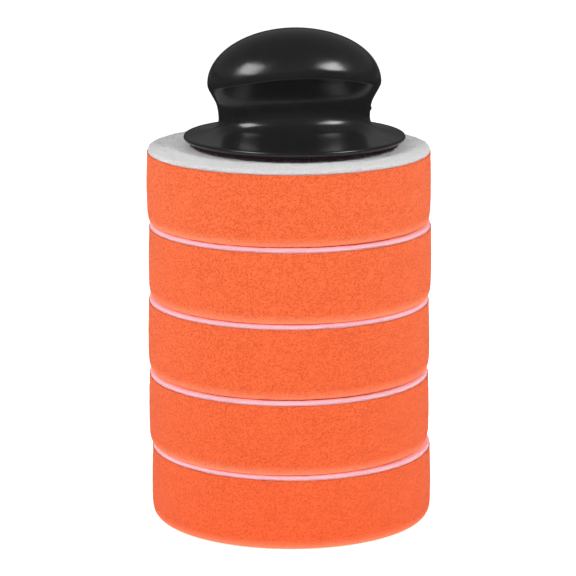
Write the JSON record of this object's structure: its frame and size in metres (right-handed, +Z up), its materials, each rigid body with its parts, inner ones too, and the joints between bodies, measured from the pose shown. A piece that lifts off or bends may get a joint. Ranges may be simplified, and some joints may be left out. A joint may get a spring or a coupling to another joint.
{
  "type": "polishing pad",
  "caption": "Stack of flat round foam polishing pads with loop backings, topped by a moulded palm grip with a hook face.",
  "frame": {"origin": "centre of the lowest pad's working face, which is the bottom of the whole stack", "axes": "+Z up through the stack towards the palm grip's dome; the grip's long axis is turned 9 degrees from +X towards +Y"},
  "size_m": [0.1262, 0.1256, 0.2177],
  "materials": {
    "foam": "matte",
    "bond_film": "satin",
    "loop_fabric": "matte",
    "grip_plastic": "gloss",
    "plate_plastic": "satin",
    "adhesive": "satin",
    "hook_fabric": "matte"
  },
  "bodies": {
    "pad_1": {"pad_1_foam": "foam", "pad_1_bond_film": "bond_film", "pad_1_loop_backing": "loop_fabric"},
    "pad_2": {"pad_2_foam": "foam", "pad_2_bond_film": "bond_film", "pad_2_loop_backing": "loop_fabric"},
    "pad_3": {"pad_3_foam": "foam", "pad_3_bond_film": "bond_film", "pad_3_loop_backing": "loop_fabric"},
    "pad_4": {"pad_4_foam": "foam", "pad_4_bond_film": "bond_film", "pad_4_loop_backing": "loop_fabric"},
    "pad_5": {"pad_5_foam": "foam", "pad_5_bond_film": "bond_film", "pad_5_loop_backing": "loop_fabric"},
    "hand_grip": {"grip_shell": "grip_plastic", "base_plate": "plate_plastic", "hook_adhesive": "adhesive", "hook_disc": "hook_fabric"}
  },
  "joints": [
    {"name": "pad_2_lift", "type": "slide", "parent": "pad_1", "child": "pad_2", "axis": [0, 0, 1], "range_m": [0, 0.05]},
    {"name": "pad_3_lift", "type": "slide", "parent": "pad_2", "child": "pad_3", "axis": [0, 0, 1], "range_m": [0, 0.05]},
    {"name": "pad_4_lift", "type": "slide", "parent": "pad_3", "child": "pad_4", "axis": [0, 0, 1], "range_m": [0, 0.05]},
    {"name": "pad_5_lift", "type": "slide", "parent": "pad_4", "child": "pad_5", "axis": [0, 0, 1], "range_m": [0, 0.05]},
    {"name": "hand_grip_lift", "type": "slide", "parent": "pad_5", "child": "hand_grip", "axis": [0, 0, 1], "range_m": [0, 0.06]}
  ]
}
